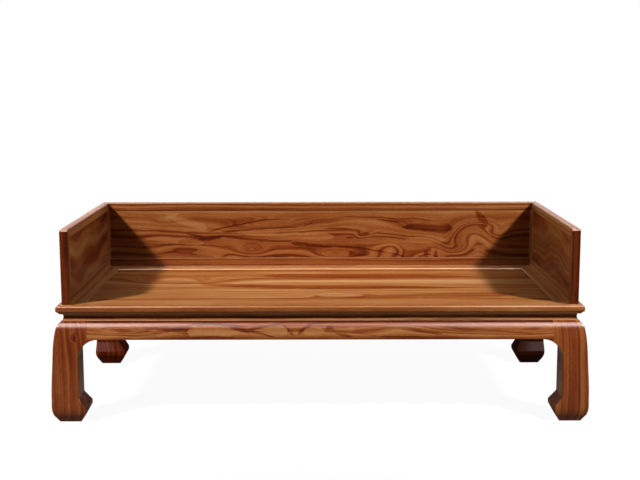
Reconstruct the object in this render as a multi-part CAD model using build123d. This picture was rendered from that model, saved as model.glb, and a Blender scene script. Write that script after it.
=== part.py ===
from build123d import *
import os

# A luohan daybed in solid hardwood: a frame-and-panel seat on a waisted base with four
# hoof-footed legs, and three framed screens that lift off the seat.
# X runs along the length, the front faces -Y and Z is up.
# The origin is on the floor, under the middle of the seat. Lengths are millimetres.

# ---- overall sizes ----
seat_length = 2000.0
seat_depth = 950.0
seat_height = 450.0
screen_height = 288.0

# ---- seat frame ----
rail_width = 100.0  # front rail and both end rails
rear_rail_width = 150.0  # carries the back screen
rail_thickness = 42.0
edge_round = 9.0  # round over the rail's upper arris, downwards
edge_round_in = 7.0  # the same, inwards
edge_flat = 7.0  # flat between the upper and lower rounds
edge_tuck = 9.5  # round under the flat, downwards
cove_depth = 24.0  # how far in the cove under the edge reaches
cove_height = 9.0
corner_tenon_thickness = 11.0
corner_tenon_drop = 9.0  # below the seat's surface
corner_tenon_inset = 40.0
corner_tenon_width = 45.0
corner_tenon_end = 22.0  # wood left between the tenon's end and the outside

# ---- seat boards and battens ----
board_count = 5
board_thickness = 18.0
seat_recess = 3.0  # boards below the rails, whose inner arris is bevelled by as much
tongue_thickness = 6.0
tongue_length = 9.0
tongue_drop = 7.0  # from the seat's surface to the tongue's top
groove_spare = 1.0  # room for the boards to swell
batten_places = (-600.0, -200.0, 200.0, 600.0)
batten_width = 40.0
batten_key_height = 4.5
batten_key_top = 34.0
batten_key_root = 28.0
batten_tenon_length = 15.0
batten_tenon_width = 24.0
batten_tenon_height = 14.0
batten_tenon_lift = 5.0

# ---- waist ----
waist_height = 18.0
waist_foot_inset = 22.0
waist_head_inset = 26.0
waist_back = 38.0  # inner face, shared with the aprons and the leg ears
waist_tongue_in = 29.0
waist_tongue_width = 6.0
waist_tongue_height = 5.0

# ---- legs, measured from the seat's outer edge inwards and from the floor up ----
shoulder_inset = 21.0
shoulder_drop = 26.0
shoulder_out = 1.5
shoulder_mid = (5.2, 12.2)  # inset and drop of the point that bows the shoulder
shank_out = 15.5
shank_level = 232.0
ankle_out = 21.5
ankle_level = 100.0
hoof_turn_out = 19.5
hoof_turn_level = 40.0
hoof_edge_out = 10.0
hoof_edge_level = 20.0
hoof_edge_way = (0.66, -0.75)  # the line's direction there, inwards and down
foot_outer = 2.0
foot_inner = 85.0
leg_inner = 83.0
hoof_flare_level = 99.0
hoof_tip = 109.0
hoof_tip_top = 58.0
hoof_tip_bottom = 43.0
hoof_flare_radius = 14.0
hoof_tip_radius = 9.0
leg_arris = 5.0
ear_reach = 117.0  # where the leg ends and the apron begins
spandrel_radius = 74.0
leg_tenon_near = 42.0
leg_tenon_side = 14.0
leg_tenon_far = 62.0
leg_tenon_long = 18.0
leg_tenon_height = 20.0

# ---- aprons ----
apron_height = 68.0
apron_tenon_length = 20.0
apron_tenon_in = 8.0
apron_tenon_thickness = 18.0
apron_tenon_foot = 10.0  # above the apron's lower edge
apron_tenon_height = 46.0
apron_arris = 2.5

# ---- keys that hang the aprons and waist on the rails ----
long_key_places = (-600.0, -200.0, 200.0, 600.0)
end_key_places = (-160.0, 160.0)
key_slot_depth = 6.0
key_thickness = 14.0
key_wide = 26.0
key_narrow = 20.0
key_below_waist = 46.0
key_into_rail = 12.0

# ---- screens ----
screen_inset = 20.0  # side screens and screen fronts, from the seat's outer edge
back_inset = 42.0  # back of the back screen, from the seat's rear edge
side_thickness = 32.0
back_thickness = 40.0
screen_top_rail = 34.0
side_bottom_rail = 34.0
back_bottom_rail = 38.0
stile_width = 36.0
screen_corner_bevel = 6.0
screen_round = 4.0
panel_recess = 2.5
panel_rebate = 8.0
side_panel_thickness = 14.0
back_panel_thickness = 16.0
panel_lip = 2.0  # bevel round the panel on the shown side, on the stiles and the top rail
screen_tenon_thickness = 10.0
screen_tenon_inset = 9.0
screen_tenon_width = 16.0
screen_tenon_cover = 9.0
back_batten_places = (-330.0, 330.0)
back_batten_width = 44.0
back_batten_thickness = 15.0
back_batten_tenon = 12.0
back_batten_tenon_width = 28.0
back_batten_tenon_thickness = 9.0
screen_gap = 0.3  # between a side screen's end and the back screen's face

# ---- stub tenons under the screens, which lift out of the seat ----
stub_length = 44.0
stub_thickness = 12.0
stub_above = 18.0
stub_below = 20.0
stub_clearance = 0.5
back_stub_places = (-620.0, 0.0, 620.0)
side_stub_places = (-270.0, 270.0)  # from the middle of the side screen

# ---- sliding dovetail keys between the side screens and the back screen ----
slide_key_levels = (70.0, 185.0)  # middle of each key above the seat
slide_key_height = 30.0
slide_key_root = 18.0
slide_key_neck = 11.0
slide_key_head = 17.0
slide_key_reach = 15.0
slide_key_clearance = 0.3
slide_key_travel = 36.0

# ---- worked out from the sizes above ----
half_length = seat_length / 2
half_depth = seat_depth / 2
rail_bottom = seat_height - rail_thickness
waist_bottom = rail_bottom - waist_height
apron_bottom = waist_bottom - apron_height
shoulder_level = waist_bottom - shoulder_drop
spandrel_centre = (leg_inner + spandrel_radius, apron_bottom - spandrel_radius)
ear_bottom = spandrel_centre[1] + (spandrel_radius**2 - (spandrel_centre[0] - ear_reach) ** 2) ** 0.5
board_top = seat_height - seat_recess
board_bottom = board_top - board_thickness
tongue_top = seat_height - tongue_drop
tongue_bottom = tongue_top - tongue_thickness
well_front = -half_depth + rail_width
well_rear = half_depth - rear_rail_width
well_side = half_length - rail_width
back_face = half_depth - back_inset - back_thickness
side_face = half_length - screen_inset - side_thickness
side_front = -half_depth + screen_inset
side_length = back_face - screen_gap - side_front
back_length = seat_length - 2 * screen_inset
quarter_bow = 1 - 0.5**0.5  # an arc's middle stands this share of its corner off the corner's sides
cut_past = 1.0  # how far a socket runs out through the face it opens in
near_zero = 1e-3

# Each side's turn about the middle and the distance of its outer edge from there.
SIDES = {
    "front": (0, half_depth),
    "right": (90, half_length),
    "rear": (180, half_depth),
    "left": (270, half_length),
}
LONG_SIDES = ("front", "rear")


def block(x_span, y_span, z_span):
    """A box from three (low, high) pairs."""
    spans = (x_span, y_span, z_span)
    size = [high - low for low, high in spans]
    centre = [(high + low) / 2 for low, high in spans]
    return Pos(*centre) * Box(*size)


def prism(points, low, high):
    """A plan outline of (x, y) points, stood up between two heights."""
    face = make_face(Polyline(*[(x, y, low) for x, y in points], close=True))
    return extrude(face, high - low, dir=(0, 0, 1))


def along_x(edges, low, high):
    """An outline in the YZ plane, run along X between two places."""
    return Pos(low, 0, 0) * extrude(make_face(edges), high - low, dir=(1, 0, 0))


def along_y(edges, low, high):
    """An outline in the XZ plane, run along Y between two places."""
    return Pos(0, low, 0) * extrude(make_face(edges), high - low, dir=(0, 1, 0))


def edges_at(part, **where):
    """The straight or curved edges that lie wholly at the given coordinates."""
    found = ShapeList()
    for edge in part.edges():
        ends = [edge @ 0, edge @ 0.5, edge @ 1]
        if all(abs(getattr(p, axis) - value) < near_zero for p in ends for axis, value in where.items()):
            found.append(edge)
    return found


def on_side(side, part):
    """Turn a part made with its outer edge on Y = 0, inwards along +Y, onto one side of the seat."""
    turn, reach = SIDES[side]
    return Rot(0, 0, turn) * Pos(0, -reach, 0) * part


def edge_half(side):
    """Half the length of the seat's outer edge on one side."""
    return half_length if side in LONG_SIDES else half_depth


def mitred(part, half, width, low, high):
    """Cut a bar that starts on Y = 0 to 45 degree mitres at both ends."""
    plan = [(-half, 0), (half, 0), (half - width, width), (width - half, width)]
    return part & prism(plan, low, high)


# ---- seat frame ----
def rail_profile(width):
    """Section of a seat rail: rounded upper edge, flat, tucked round, cove and flat underside."""
    top = seat_height
    flat_top = top - edge_round
    flat_bottom = flat_top - edge_flat
    tuck_bottom = flat_bottom - edge_tuck
    cove_bottom = tuck_bottom - cove_height
    upper = ThreePointArc(
        (0, edge_round_in, top),
        (0, edge_round_in * quarter_bow, top - edge_round * quarter_bow),
        (0, 0, flat_top),
    )
    lower = ThreePointArc(
        (0, 0, flat_bottom),
        (0, edge_round_in * quarter_bow, flat_bottom - edge_tuck * (1 - quarter_bow)),
        (0, edge_round_in, tuck_bottom),
    )
    cove_middle = edge_round_in + (cove_depth - edge_round_in) * quarter_bow
    cove = ThreePointArc(
        (0, edge_round_in, tuck_bottom),
        (0, cove_middle, tuck_bottom - cove_height * (1 - quarter_bow)),
        (0, cove_depth, cove_bottom),
    )
    rest = Polyline(
        (0, cove_depth, cove_bottom),
        (0, cove_depth, rail_bottom),
        (0, width, rail_bottom),
        (0, width, top),
        (0, edge_round_in, top),
    )
    return [upper, Line((0, 0, flat_top), (0, 0, flat_bottom)), lower, cove, rest]


def corner_tenon(half):
    """The long rail's tenon at its +X end, where it enters the end rail."""
    low = seat_height - corner_tenon_drop - corner_tenon_thickness
    inner = corner_tenon_inset + corner_tenon_width
    return block(
        (half - inner, half - corner_tenon_end),
        (corner_tenon_inset, inner),
        (low, low + corner_tenon_thickness),
    )


def board_groove(width, half_run):
    """The groove in a rail's inner edge that holds the seat boards' tongues."""
    deep = tongue_length + groove_spare
    return block((-half_run, half_run), (width - deep, width), (tongue_bottom, tongue_top))


def well_space():
    """The space over the boards, which widens upwards through the rails' bevelled inner arrises."""
    floor = Rectangle(2 * well_side, well_rear - well_front)
    placed = Pos(0, (well_front + well_rear) / 2, board_top) * floor
    return extrude(placed, seat_recess, taper=-45)


def waist_tongue(half, grow=0.0):
    """The tongue on top of a waist strip, or with grow its groove in the rail."""
    span_y = (waist_tongue_in - grow, waist_tongue_in + waist_tongue_width + grow)
    run = block((-half, half), span_y, (rail_bottom, rail_bottom + waist_tongue_height + grow))
    return mitred(run, half, rail_width, rail_bottom, seat_height)


def leg_tenons(grow=0.0):
    """The two tenons on a leg's neck, in the leg's own inward coordinates."""
    near = (leg_tenon_near - grow, leg_tenon_near + leg_tenon_side + grow)
    far = (leg_tenon_far - grow, leg_tenon_far + leg_tenon_long + grow)
    up = (rail_bottom, rail_bottom + leg_tenon_height + grow)
    return block(far, near, up) + block(near, far, up)


def at_corner(part, corner_x, corner_y):
    """Move a part made in inward coordinates of the front left corner to any corner."""
    placed = Pos(-half_length, -half_depth, 0) * part
    if corner_x > 0:
        placed = mirror(placed, about=Plane.YZ)
    if corner_y > 0:
        placed = mirror(placed, about=Plane.XZ)
    return placed


CORNERS = {
    "front_left": (-1, -1),
    "front_right": (1, -1),
    "rear_left": (-1, 1),
    "rear_right": (1, 1),
}


def seat_rail(side):
    """One member of the seat frame, before its mortises for legs, keys and screens."""
    half = edge_half(side)
    width = rear_rail_width if side == "rear" else rail_width
    bar = along_x(rail_profile(width), -half, half)
    plan = [
        (-half, 0),
        (half, 0),
        (half - rail_width, rail_width),
        (half - rail_width, width),
        (rail_width - half, width),
        (rail_width - half, rail_width),
    ]
    if width == rail_width:
        plan = [plan[i] for i in (0, 1, 2, 5)]
    bar = bar & prism(plan, rail_bottom, seat_height)
    if side in LONG_SIDES:
        bar = bar + corner_tenon(half) + mirror(corner_tenon(half), about=Plane.YZ)
    bar = bar - board_groove(width, half - rail_width + tongue_length + groove_spare)
    return on_side(side, bar - waist_tongue(half, grow=0.2)) - well_space()


def batten(place):
    """A cross batten, keyed up into the boards and tenoned into the long rails."""
    body = block(
        (-batten_width / 2, batten_width / 2), (well_front, well_rear), (rail_bottom, board_bottom)
    )
    root = batten_key_root / 2
    top = batten_key_top / 2
    key_top = board_bottom + batten_key_height
    key = Polyline(
        (-root, 0, board_bottom),
        (root, 0, board_bottom),
        (top, 0, key_top),
        (-top, 0, key_top),
        close=True,
    )
    tenon_foot = rail_bottom + batten_tenon_lift
    tenon = block(
        (-batten_tenon_width / 2, batten_tenon_width / 2),
        (well_front - batten_tenon_length, well_rear + batten_tenon_length),
        (tenon_foot, tenon_foot + batten_tenon_height),
    )
    return Pos(place, 0, 0) * (body + along_y(key, well_front, well_rear) + tenon)


def seat_board(number):
    """One lengthwise seat board, tongued into its neighbours and the frame."""
    width = (well_rear - well_front) / board_count
    low = well_front + number * width
    high = low + width
    tongue = (tongue_bottom, tongue_top)
    reach = well_side + tongue_length
    board = block((-well_side, well_side), (low, high), (board_bottom, board_top))
    board = board + block((-well_side, well_side), (high, high + tongue_length), tongue)
    if number == 0:
        board = board + block((-well_side, well_side), (low - tongue_length, low), tongue)
        return board + block((-reach, reach), (low, high), tongue)
    socket_end = low + tongue_length + groove_spare
    board = board + block((-reach, reach), (socket_end, high), tongue)
    return board - block((-well_side, well_side), (low, socket_end), tongue)


# ---- legs, aprons and waist ----
def placer(axis):
    """A function that puts (inset, level) into the XZ plane or the YZ plane."""
    if axis == "x":
        return lambda inset, level: (inset, 0, level)
    return lambda inset, level: (0, inset, level)


def swell(axis):
    """The curved outer line from shoulder to foot, in the YZ or XZ plane, from top to bottom."""
    at = placer(axis)
    shoulder = ThreePointArc(
        at(shoulder_inset, waist_bottom),
        at(shoulder_mid[0], waist_bottom - shoulder_mid[1]),
        at(-shoulder_out, shoulder_level),
    )
    down = at(0, -1)
    shank = Spline(
        at(-shoulder_out, shoulder_level),
        at(-shank_out, shank_level),
        at(-ankle_out, ankle_level),
        tangents=[shoulder % 1, down],
    )
    hoof = Spline(
        at(-ankle_out, ankle_level),
        at(-hoof_turn_out, hoof_turn_level),
        at(-hoof_edge_out, hoof_edge_level),
        tangents=[down, at(*hoof_edge_way)],
    )
    under = Line(at(-hoof_edge_out, hoof_edge_level), at(foot_outer, 0))
    return [shoulder, shank, hoof, under]


def leg_outline(axis):
    """The leg's outline with its ear, seen square on to one of its two outer faces."""
    at = placer(axis)
    inner = FilletPolyline(
        at(foot_inner, 0),
        at(hoof_tip, hoof_tip_bottom),
        at(hoof_tip, hoof_tip_top),
        at(leg_inner, hoof_flare_level),
        at(leg_inner, spandrel_centre[1]),
        radius=[hoof_tip_radius, hoof_tip_radius, hoof_flare_radius],
    )
    spandrel = ThreePointArc(
        at(leg_inner, spandrel_centre[1]),
        at(*spandrel_point((leg_inner + ear_reach) / 2)),
        at(ear_reach, ear_bottom),
    )
    head = Polyline(
        at(ear_reach, ear_bottom), at(ear_reach, waist_bottom), at(shoulder_inset, waist_bottom)
    )
    sole = Line(at(foot_outer, 0), at(foot_inner, 0))
    return [*swell(axis), inner, spandrel, head, sole]


def corner_arris(body):
    """The leg's outer corner, from the shoulder to the sole."""
    found = ShapeList()
    for edge in body.edges():
        places = [edge @ 0, edge @ 0.5, edge @ 1]
        if all(abs(p.X - p.Y) < near_zero and p.X < waist_back for p in places):
            found.append(edge)
    return found


def inner_arrises(body):
    """The edges from the sole to the apron where the outer faces meet the inner faces."""
    found = ShapeList()
    for edge in body.edges():
        places = [edge @ 0, edge @ 0.5, edge @ 1]
        if max(p.Z for p in places) > ear_bottom + near_zero:
            continue
        for inwards, outwards in (("X", "Y"), ("Y", "X")):
            far = all(getattr(p, inwards) > leg_inner - near_zero for p in places)
            outside = all(getattr(p, outwards) < foot_outer + near_zero for p in places)
            if far and outside:
                found.append(edge)
    return found


def spandrel_point(inset):
    """A point of the spandrel curve, as inset from the seat's outer edge and level."""
    across = spandrel_centre[0] - inset
    return inset, spandrel_centre[1] + (spandrel_radius**2 - across**2) ** 0.5


def leg():
    """The front left leg in inward coordinates: post, two ears, neck and tenons."""
    reach = ear_reach + ankle_out
    body = along_y(leg_outline("x"), -reach, reach) & along_x(leg_outline("y"), -reach, reach)
    body = fillet(corner_arris(body), leg_arris)
    body = fillet(inner_arrises(body), apron_arris)
    above_hoof = (hoof_flare_level, waist_bottom)
    body = body - block((leg_inner, reach), (waist_back, reach), above_hoof)
    body = body - block((waist_back, reach), (leg_inner, reach), above_hoof)
    neck = block((waist_back, leg_inner), (waist_back, leg_inner), (waist_bottom, rail_bottom))
    body = body + neck + leg_tenons()
    return body - apron_tenon(False) - apron_tenon(True)


def swell_slab(low, high):
    """The wood between the swelling outer line and the apron's inner face, run along X."""
    back = Polyline(
        (0, foot_outer, 0),
        (0, waist_back, 0),
        (0, waist_back, waist_bottom),
        (0, shoulder_inset, waist_bottom),
    )
    return along_x(swell("y") + [back], low, high)


def apron_tenon(turn):
    """The tenon at an apron's end, in the inward coordinates of its leg."""
    along = (ear_reach - apron_tenon_length, ear_reach)
    across = (apron_tenon_in, apron_tenon_in + apron_tenon_thickness)
    foot = apron_bottom + apron_tenon_foot
    if turn:
        return block(across, along, (foot, foot + apron_tenon_height))
    return block(along, across, (foot, foot + apron_tenon_height))


def apron(side):
    """An apron with a spandrel curve at each end and a tenon into each leg."""
    half = edge_half(side)
    end = half - ear_reach
    turn_in = half - spandrel_centre[0]
    inset, level = spandrel_point((ear_reach + spandrel_centre[0]) / 2)
    arcs = [
        ThreePointArc(
            (sign * end, 0, ear_bottom),
            (sign * (half - inset), 0, level),
            (sign * turn_in, 0, apron_bottom),
        )
        for sign in (-1, 1)
    ]
    lower = Line((-turn_in, 0, apron_bottom), (turn_in, 0, apron_bottom))
    upper = Polyline(
        (-end, 0, ear_bottom), (-end, 0, waist_bottom), (end, 0, waist_bottom), (end, 0, ear_bottom)
    )
    outline = along_y([*arcs, lower, upper], -2 * ankle_out, waist_back)
    body = outline & swell_slab(-half, half)
    lower_front = ShapeList(
        edge
        for edge in body.edges()
        if all((edge @ t).Y < 0 and (edge @ t).Z < apron_bottom + near_zero for t in (0, 0.5, 1))
    )
    body = fillet(lower_front, apron_arris)
    tenon = Pos(-half, 0, 0) * apron_tenon(False)
    body = body + tenon + mirror(tenon, about=Plane.YZ)
    return on_side(side, body)


def waist_strip(side):
    """A mitred waist strip, leaning in towards its top, with a tongue into the rail."""
    half = edge_half(side)
    profile = Polyline(
        (0, waist_foot_inset, waist_bottom),
        (0, waist_back, waist_bottom),
        (0, waist_back, rail_bottom),
        (0, waist_head_inset, rail_bottom),
        close=True,
    )
    strip = mitred(along_x(profile, -half, half), half, rail_width, waist_bottom, rail_bottom)
    return on_side(side, strip + waist_tongue(half))


def hanging_keys(side):
    """The dovetail keys behind one apron, which hang it and the waist from the rail."""
    places = long_key_places if side in LONG_SIDES else end_key_places
    wide = key_wide / 2
    narrow = key_narrow / 2
    root = waist_back - key_slot_depth
    tail = root + key_thickness
    plan = [
        (-wide, root),
        (wide, root),
        (narrow, waist_back),
        (narrow, tail),
        (-narrow, tail),
        (-narrow, waist_back),
    ]
    key = prism(plan, waist_bottom - key_below_waist, rail_bottom + key_into_rail)
    return [on_side(side, Pos(place, 0, 0) * key) for place in places]


# ---- screens: made along X with the shown face on Y = 0 and the seat on Z = 0 ----
def screen_outlines(length, bottom_rail, bevel_start, bevel_end):
    """The mitred outlines of the four members of a screen's frame."""
    top = screen_height
    inner_top = top - screen_top_rail
    start = screen_corner_bevel if bevel_start else 0.0
    end = screen_corner_bevel if bevel_end else 0.0
    inner = length - stile_width

    def corner(edge_x, cut, towards):
        """Points from the upright side over the bevel to the top, met half way by the mitre."""
        if cut == 0:
            return [(edge_x, top)], [(edge_x, top)]
        half_way = (edge_x + towards * cut / 2, top - cut / 2)
        return [(edge_x, top - cut), half_way], [half_way, (edge_x + towards * cut, top)]

    start_side, start_top = corner(0, start, 1)
    end_side, end_top = corner(length, end, -1)
    return {
        "top_rail": [*start_top, *reversed(end_top), (inner, inner_top), (stile_width, inner_top)],
        "bottom_rail": [(0, 0), (stile_width, bottom_rail), (inner, bottom_rail), (length, 0)],
        "start_stile": [(0, 0), *start_side, (stile_width, inner_top), (stile_width, bottom_rail)],
        "end_stile": [(length, 0), *end_side, (inner, inner_top), (inner, bottom_rail)],
    }


def stile_tenons(near, thickness, bottom_rail):
    """The tenons at both ends of a stile, inside the top and bottom rails."""
    depth = ((thickness - screen_tenon_thickness) / 2, (thickness + screen_tenon_thickness) / 2)
    span = (near, near + screen_tenon_width)
    foot = block(span, depth, (screen_tenon_cover, bottom_rail))
    head = block(span, depth, (screen_height - screen_top_rail, screen_height - screen_tenon_cover))
    return foot + head


def screen(length, thickness, bottom_rail, panel_thickness, bevel_start, bevel_end):
    """A framed screen: two rails, two stiles and a floating panel."""
    outlines = screen_outlines(length, bottom_rail, bevel_start, bevel_end)
    inner_top = screen_height - screen_top_rail
    inner_end = length - stile_width
    panel_depth = (panel_recess, panel_recess + panel_thickness)
    near_end = stile_width - screen_tenon_inset - screen_tenon_width
    tenons = {
        "start_stile": stile_tenons(near_end, thickness, bottom_rail),
        "end_stile": stile_tenons(inner_end + screen_tenon_inset, thickness, bottom_rail),
    }
    room = panel_rebate + groove_spare
    groove = block(
        (stile_width - room, inner_end + room), panel_depth, (bottom_rail - room, inner_top + room)
    )
    lips = {
        "top_rail": {"Z": inner_top},
        "start_stile": {"X": stile_width},
        "end_stile": {"X": inner_end},
    }
    rounds = {"top_rail": {"Z": screen_height}}
    if bevel_start:
        rounds["start_stile"] = {"X": 0}
    if bevel_end:
        rounds["end_stile"] = {"X": length}
    pieces = {}
    for name, points in outlines.items():
        wire = Polyline(*[(x, 0, z) for x, z in points], close=True)
        piece = along_y(wire, 0, thickness)
        if name in lips:
            piece = chamfer(edges_at(piece, Y=0, **lips[name]), panel_lip)
        if name in rounds:
            arrises = [edges_at(piece, Y=y, **rounds[name]) for y in (0, thickness)]
            piece = fillet(arrises[0] + arrises[1], screen_round)
        piece = piece - groove
        for stile, tenon in tenons.items():
            piece = piece + tenon if name == stile else piece - tenon
        pieces[name] = piece
    pieces["panel"] = block(
        (stile_width - panel_rebate, inner_end + panel_rebate),
        panel_depth,
        (bottom_rail - panel_rebate, inner_top + panel_rebate),
    )
    return pieces


def stubs(places, thickness, grow=0.0):
    """Loose tenons half in the bottom rail and half in the seat, or with grow their sockets."""
    middle = thickness / 2
    across = (middle - stub_thickness / 2 - grow, middle + stub_thickness / 2 + grow)
    made = []
    for place in places:
        along = (place - stub_length / 2 - grow, place + stub_length / 2 + grow)
        made.append(block(along, across, (-stub_below - grow, stub_above)))
    return made


def slide_key(level):
    """A dovetail key standing out of the end of a side screen, with its root in the stile."""
    middle = side_thickness / 2
    neck = slide_key_neck / 2
    head = slide_key_head / 2
    end = side_length
    tip = end + screen_gap + slide_key_reach
    plan = [
        (end - slide_key_root, middle - neck),
        (end + screen_gap, middle - neck),
        (tip, middle - head),
        (tip, middle + head),
        (end + screen_gap, middle + neck),
        (end - slide_key_root, middle + neck),
    ]
    low = level - slide_key_height / 2
    return prism(plan, low, low + slide_key_height)


def slide_socket(level):
    """The socket for a sliding key in the back screen: a dovetail slot under a wide mouth."""
    middle = side_thickness / 2
    grow = slide_key_clearance
    neck = slide_key_neck / 2 + grow
    head = slide_key_head / 2 + grow
    face = side_length + screen_gap
    tip = face + slide_key_reach + grow
    low = level - slide_key_height / 2 - grow
    high = low + slide_key_height + slide_key_travel + 3 * grow
    mouth = face - cut_past
    plan = [(mouth, middle - neck), (tip, middle - head), (tip, middle + head), (mouth, middle + neck)]
    slot = prism(plan, low, high)
    entry_low = level + slide_key_height / 2 + 2 * grow
    entry = block((mouth, tip), (middle - head, middle + head), (entry_low, high))
    return slot + entry


def back_battens(panel_back):
    """Upright battens behind the back panel, tenoned into the top and bottom rails."""
    made = []
    for offset in back_batten_places:
        place = back_length / 2 + offset
        span = (place - back_batten_width / 2, place + back_batten_width / 2)
        body = block(
            span,
            (panel_back, panel_back + back_batten_thickness),
            (back_bottom_rail, screen_height - screen_top_rail),
        )
        middle = panel_back + back_batten_thickness / 2
        half = back_batten_tenon_width / 2
        tenon = block(
            (place - half, place + half),
            (middle - back_batten_tenon_thickness / 2, middle + back_batten_tenon_thickness / 2),
            (back_bottom_rail - back_batten_tenon, screen_height - screen_top_rail + back_batten_tenon),
        )
        made.append(body + tenon)
    return made


def place_back(part):
    """Stand a part of the back screen on the seat."""
    return Pos(-back_length / 2, back_face, seat_height) * part


def place_left(part):
    """Stand a part of the left screen on the seat."""
    return Pos(-side_face, side_front, seat_height) * Rot(0, 0, 90) * part


# ---- put the pieces together ----
RAIL_NAMES = {side: f"{side}_rail" if side in LONG_SIDES else f"{side}_end_rail" for side in SIDES}
nodes = {}

for side in SIDES:
    nodes[RAIL_NAMES[side]] = seat_rail(side)
    nodes[f"{side}_waist"] = waist_strip(side)
    nodes[f"{side}_apron"] = apron(side)

battens = [batten(place) for place in batten_places]
for number, made in enumerate(battens, 1):
    nodes[f"seat_batten_{number}"] = made

for number in range(board_count):
    board = seat_board(number)
    for made in battens:
        board = board - made
    nodes[f"seat_board_{number + 1}"] = board

front_left_leg = leg()
for corner, signs in CORNERS.items():
    nodes[f"{corner}_leg"] = at_corner(front_left_leg, *signs)

# Mortises in the seat frame for the end tenons, the legs and the battens.
for side in ("left", "right"):
    for long_side in LONG_SIDES:
        nodes[RAIL_NAMES[side]] = nodes[RAIL_NAMES[side]] - nodes[RAIL_NAMES[long_side]]
for signs in CORNERS.values():
    mortises = at_corner(leg_tenons(), *signs)
    for name in RAIL_NAMES.values():
        nodes[name] = nodes[name] - mortises
for side in LONG_SIDES:
    for made in battens:
        nodes[RAIL_NAMES[side]] = nodes[RAIL_NAMES[side]] - made

# Keys behind the aprons pass the waist and end in the rails.
keys = []
for side in SIDES:
    for key in hanging_keys(side):
        keys.append(key)
        for name in (RAIL_NAMES[side], f"{side}_waist", f"{side}_apron"):
            nodes[name] = nodes[name] - key
nodes["apron_keys"] = Compound(children=[key.solid() for key in keys])

# Back screen.
back = screen(back_length, back_thickness, back_bottom_rail, back_panel_thickness, True, True)
back_middle = back_length / 2
uprights = back_battens(panel_recess + back_panel_thickness)
back_stubs = stubs([back_middle + place for place in back_stub_places], back_thickness)
for name in ("top_rail", "bottom_rail"):
    for made in uprights:
        back[name] = back[name] - made
for made in back_stubs:
    back["bottom_rail"] = back["bottom_rail"] - made
back_names = {
    "top_rail": "back_screen_top_rail",
    "bottom_rail": "back_screen_bottom_rail",
    "start_stile": "back_screen_left_stile",
    "end_stile": "back_screen_right_stile",
    "panel": "back_screen_panel",
}
for key, name in back_names.items():
    nodes[name] = place_back(back[key])
nodes["back_screen_battens"] = Compound(children=[place_back(made).solid() for made in uprights])
nodes["back_screen_stubs"] = Compound(children=[place_back(made).solid() for made in back_stubs])

# Side screens, the right one as the mirror of the left.
side_parts = screen(side_length, side_thickness, side_bottom_rail, side_panel_thickness, True, False)
side_middle = side_length / 2
side_places = [side_middle + place for place in side_stub_places]
side_stubs = stubs(side_places, side_thickness)
side_keys = [slide_key(level) for level in slide_key_levels]
for made in side_stubs:
    side_parts["bottom_rail"] = side_parts["bottom_rail"] - made
for made in side_keys:
    side_parts["end_stile"] = side_parts["end_stile"] - made
side_names = {
    "top_rail": "screen_top_rail",
    "bottom_rail": "screen_bottom_rail",
    "start_stile": "screen_front_stile",
    "end_stile": "screen_rear_stile",
    "panel": "screen_panel",
}
placed = {name: place_left(side_parts[key]) for key, name in side_names.items()}
for name, part in placed.items():
    nodes[f"left_{name}"] = part
    nodes[f"right_{name}"] = mirror(part, about=Plane.YZ)
groups = {"screen_stubs": side_stubs, "screen_slide_keys": side_keys}
for name, made in groups.items():
    left = [place_left(part).solid() for part in made]
    nodes[f"left_{name}"] = Compound(children=left)
    nodes[f"right_{name}"] = Compound(children=[mirror(part, about=Plane.YZ).solid() for part in left])

# Sockets for the sliding keys in the back screen's stiles.
for level in slide_key_levels:
    socket = place_left(slide_socket(level))
    nodes["back_screen_left_stile"] = nodes["back_screen_left_stile"] - socket
    nodes["back_screen_right_stile"] = nodes["back_screen_right_stile"] - mirror(socket, about=Plane.YZ)

# Sockets for the screens' stub tenons in the seat frame.
for made in stubs([back_middle + place for place in back_stub_places], back_thickness, stub_clearance):
    nodes["rear_rail"] = nodes["rear_rail"] - place_back(made)
for made in stubs(side_places, side_thickness, stub_clearance):
    socket = place_left(made)
    nodes["left_end_rail"] = nodes["left_end_rail"] - socket
    nodes["right_end_rail"] = nodes["right_end_rail"] - mirror(socket, about=Plane.YZ)

os.makedirs("parts", exist_ok=True)
for name, part in nodes.items():
    export_step(part, f"parts/{name}.step")
print(len(nodes), "nodes written")
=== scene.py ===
"""Looks of a luohan daybed in figured hardwood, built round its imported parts."""

import logging
import math
from dataclasses import dataclass, field, replace
from enum import Enum

import bpy
from mathutils import Matrix, Vector

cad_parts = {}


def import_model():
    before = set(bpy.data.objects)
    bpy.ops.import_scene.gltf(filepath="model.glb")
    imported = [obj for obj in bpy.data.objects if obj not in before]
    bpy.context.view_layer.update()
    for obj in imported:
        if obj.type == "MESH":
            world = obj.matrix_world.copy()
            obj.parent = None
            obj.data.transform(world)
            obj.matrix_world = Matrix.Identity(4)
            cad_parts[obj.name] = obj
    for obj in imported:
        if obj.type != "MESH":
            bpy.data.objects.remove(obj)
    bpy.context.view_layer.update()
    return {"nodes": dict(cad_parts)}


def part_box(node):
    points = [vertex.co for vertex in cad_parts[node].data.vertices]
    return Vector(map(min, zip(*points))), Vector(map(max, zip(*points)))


LOG = logging.getLogger("daybed")
WHITE = (1.0, 1.0, 1.0)

# The camera's view and focal length in pixels, its place in metres and its pitch in degrees.
VIEW_WIDTH = 640
VIEW_HEIGHT = 480
FOCAL = 1137.5
CAMERA = (0.0, -4.6757, 1.3476)
PITCH = 8.736

Colour = tuple[float, float, float]
Point = tuple[float, float, float]
Range = tuple[float, float]
Line = tuple[str, float, float]
Stop = tuple[float, Colour]


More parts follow.
